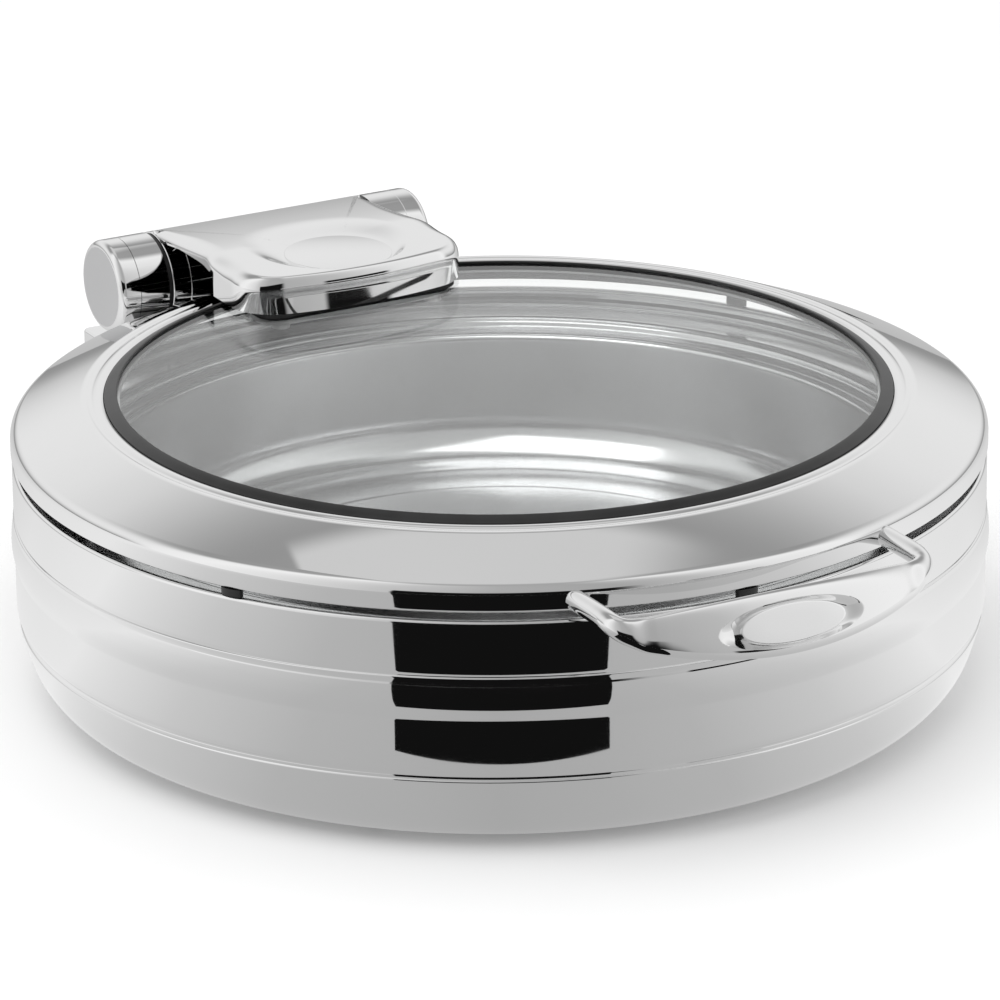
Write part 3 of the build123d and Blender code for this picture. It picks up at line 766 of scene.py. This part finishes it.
def math_node(operation, a, b=None):
    node = tree.nodes.new("ShaderNodeMath")
    node.operation = operation
    for socket, value in zip(node.inputs, (a, b)):
        if value is None:
            continue
        if isinstance(value, (int, float)):
            socket.default_value = value
        else:
            tree.links.new(value, socket)
    return node.outputs[0]


def mix(factor, a, b):
    node = tree.nodes.new("ShaderNodeMix")
    node.data_type = "RGBA"
    tree.links.new(factor, node.inputs["Factor"])
    for socket, value in ((node.inputs["A"], a), (node.inputs["B"], b)):
        if isinstance(value, (int, float)):
            socket.default_value = (value, value, value, 1)
        else:
            tree.links.new(value, socket)
    return node.outputs["Result"]


across, away, height = split.outputs["X"], split.outputs["Y"], split.outputs["Z"]


def step_up(value, low, high):
    node = tree.nodes.new("ShaderNodeMapRange")
    node.interpolation_type = "SMOOTHSTEP"
    node.inputs["From Min"].default_value = low
    node.inputs["From Max"].default_value = high
    tree.links.new(value, node.inputs["Value"])
    return node.outputs["Result"]


# Brightness of the far wall and ceiling by the sine of elevation
far_stops = [(0.0, 0.30), (0.05, 0.34), (0.11, 0.62), (0.20, 0.80), (0.31, 0.88), (0.50, 0.86), (0.62, 0.74),
             (0.70, 0.55), (0.77, 0.36), (0.83, 0.30), (1.0, 0.42)]
far_tone = ramp(tree, height, far_stops, "B_SPLINE")
box_left = step_up(across, -0.235, -0.225)
box_right = step_up(math_node("MULTIPLY", across, -1), -0.27, -0.12)
box_low = step_up(height, 0.80, 0.84)
box_share = math_node("MULTIPLY", math_node("MULTIPLY", box_left, box_right), box_low)
far = mix(box_share, far_tone, 0.66)

# Near side: soft boxes either side of a low black screen, under a grey ceiling
near = math_node("MULTIPLY", away, -1)
bearing = math_node("DIVIDE", math_node("ARCTAN2", across, near), 2 * pi)
turned = math_node("ADD", bearing, 0.5)
side_stops = [(0.22, 0.90), (0.30, 0.98), (0.36, 0.80), (0.42, 0.60), (0.50, 0.45), (0.58, 0.42),
              (0.63, 0.55), (0.68, 0.86), (0.74, 0.98), (0.80, 0.92)]
side_tone = ramp(tree, turned, side_stops)
ceiling = step_up(height, 0.945, 0.985)
near_wall = mix(ceiling, side_tone, 0.42)
screen_left = step_up(turned, 0.4300, 0.4330)
screen_right = step_up(math_node("MULTIPLY", turned, -1), -0.5940, -0.5690)
screen_top = step_up(math_node("MULTIPLY", height, -1), -0.36, -0.31)
screen = math_node("MULTIPLY", math_node("MULTIPLY", screen_left, screen_right), screen_top)
flag_left = step_up(turned, 0.6150, 0.6200)
flag_right = step_up(math_node("MULTIPLY", turned, -1), -0.6720, -0.6650)
flag_top = step_up(math_node("MULTIPLY", height, -1), -0.11, -0.07)
flag = math_node("MULTIPLY", math_node("MULTIPLY", flag_left, flag_right), flag_top)
near_side = mix(math_node("MAXIMUM", screen, flag), near_wall, black_value)
near_share = step_up(near, -0.12, 0.10)
dome = mix(near_share, far, near_side)
glossy_ray = tree.nodes.new("ShaderNodeLightPath").outputs["Is Glossy Ray"]
tree.links.new(mix(glossy_ray, 1.0, dome), background.inputs["Color"])
background.inputs["Strength"].default_value = 1.0

lamp_data = bpy.data.lights.new("soft_box", "AREA")
lamp_data.size = 2.2
lamp_data.energy = 28
lamp = bpy.data.objects.new("soft_box", lamp_data)
lamp.location = (-1.0, -0.6, 2.6)
lamp.rotation_euler = (Vector((0, 0, 0)) - lamp.location).to_track_quat("-Z", "Y").to_euler()
lamp.visible_glossy = False
scene.collection.objects.link(lamp)
